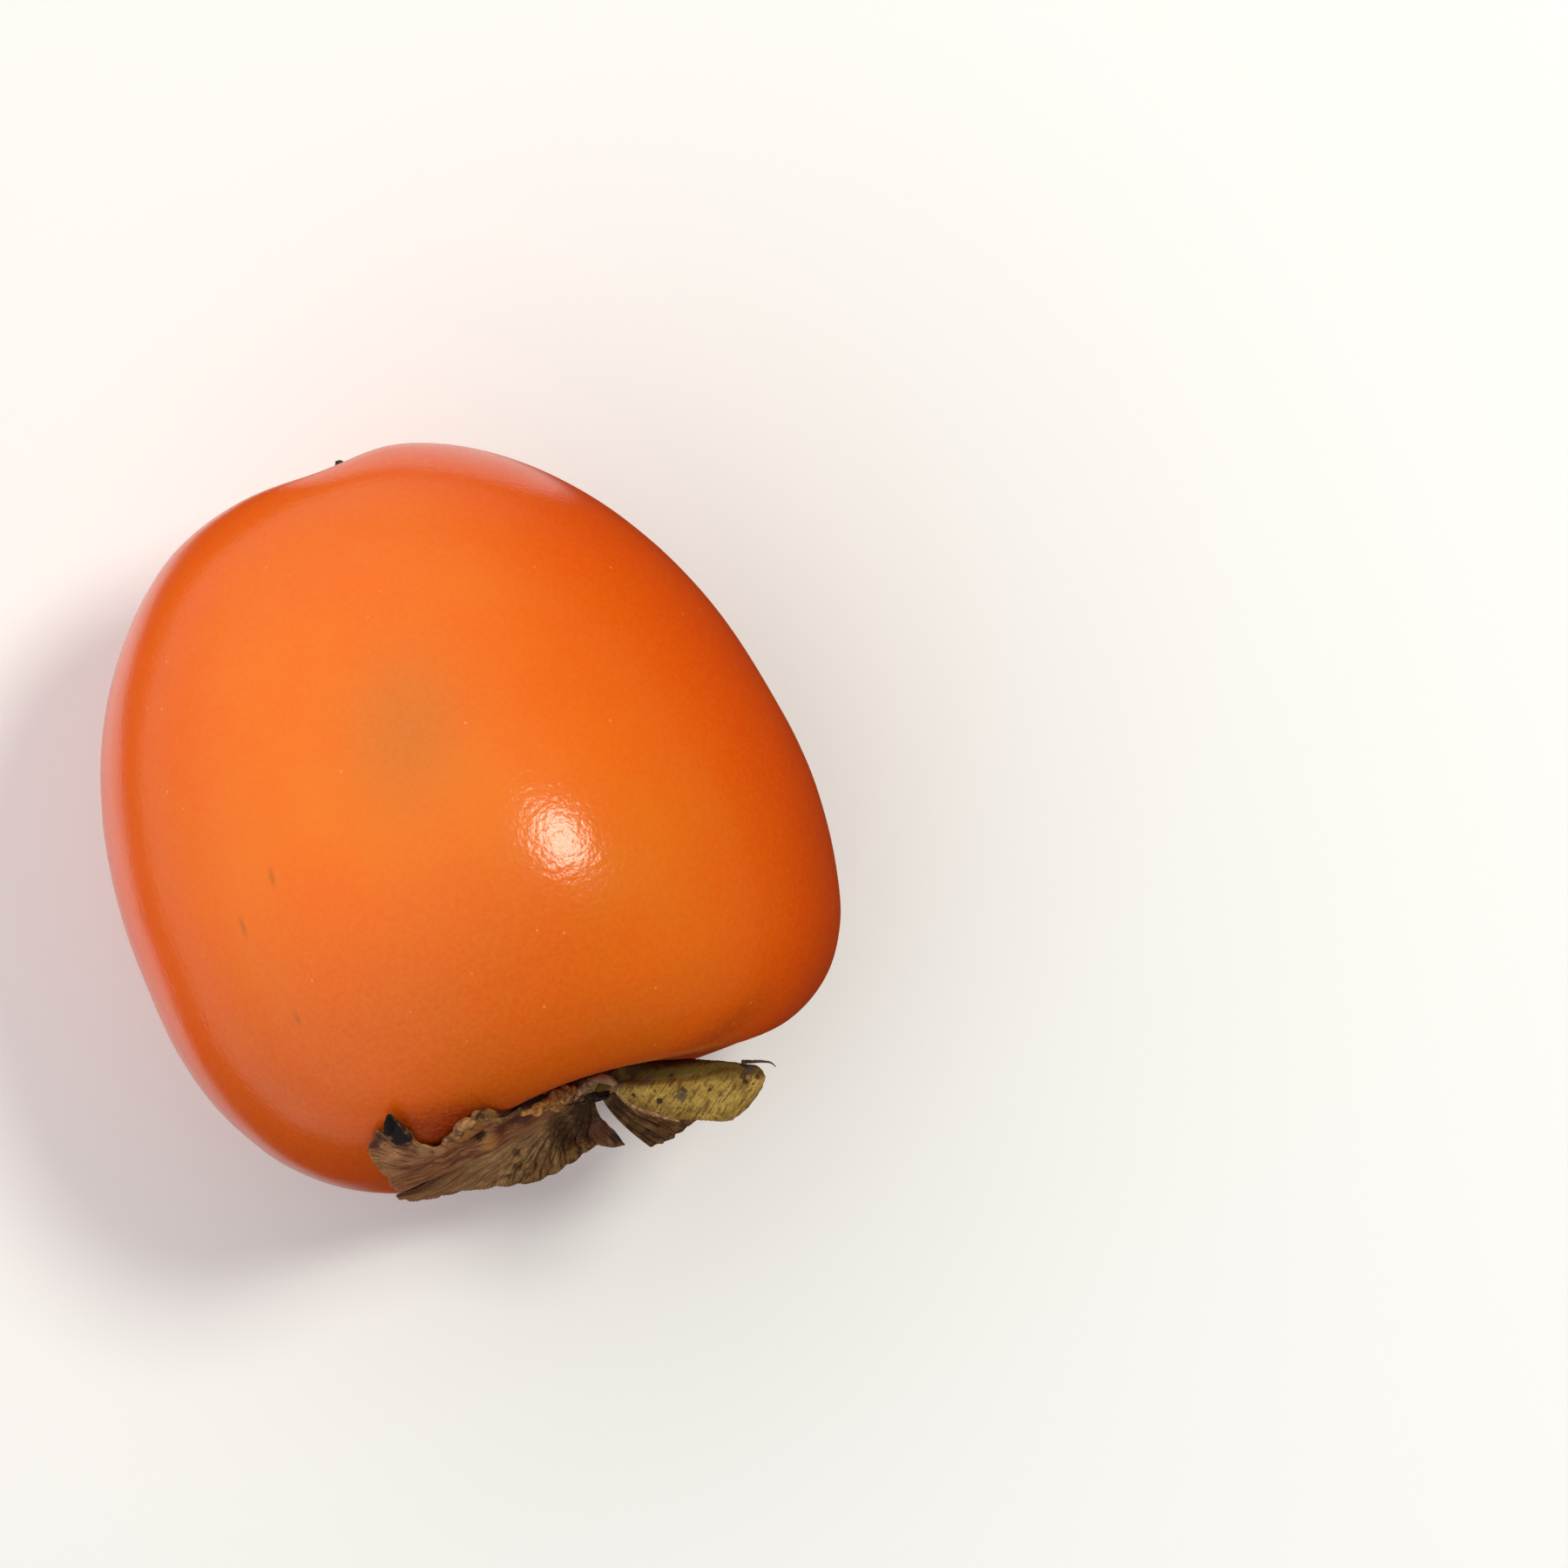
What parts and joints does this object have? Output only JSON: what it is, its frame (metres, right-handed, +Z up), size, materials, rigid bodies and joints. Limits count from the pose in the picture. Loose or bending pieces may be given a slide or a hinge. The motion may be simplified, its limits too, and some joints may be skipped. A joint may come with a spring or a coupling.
{
  "type": "persimmon",
  "caption": "Whole rounded persimmon lying on its side, with a glossy orange skin and a dried leafy calyx at its stem end.",
  "frame": {"origin": "middle of the small flat spot on the fruit's side, where it rests", "axes": "+Z up from the surface it rests on, +Y along the fruit from its stem end to its tip, +X to the right when looking down with the tip pointing away"},
  "size_m": [0.0756, 0.0835, 0.075],
  "materials": {
    "fruit_skin": "glossy waxy fruit skin, orange with a redder side",
    "calyx_disc": "dry tan plant fibre, matte",
    "brown_sepal": "dried papery leaf, brown with fine veins, matte",
    "olive_sepal": "half-dried leaf, olive yellow with dark spots, matte",
    "stem_bark": "dark cut stem, rough",
    "dried_style": "dark dried remnant, matte"
  },
  "bodies": {
    "root": {"fruit": "fruit_skin", "calyx_disc": "calyx_disc", "sepal_near_left": "brown_sepal", "sepal_near_right": "olive_sepal", "sepal_far_left": "brown_sepal", "sepal_far_right": "brown_sepal", "stem_stub": "stem_bark", "style_tip": "dried_style"}
  },
  "joints": []
}
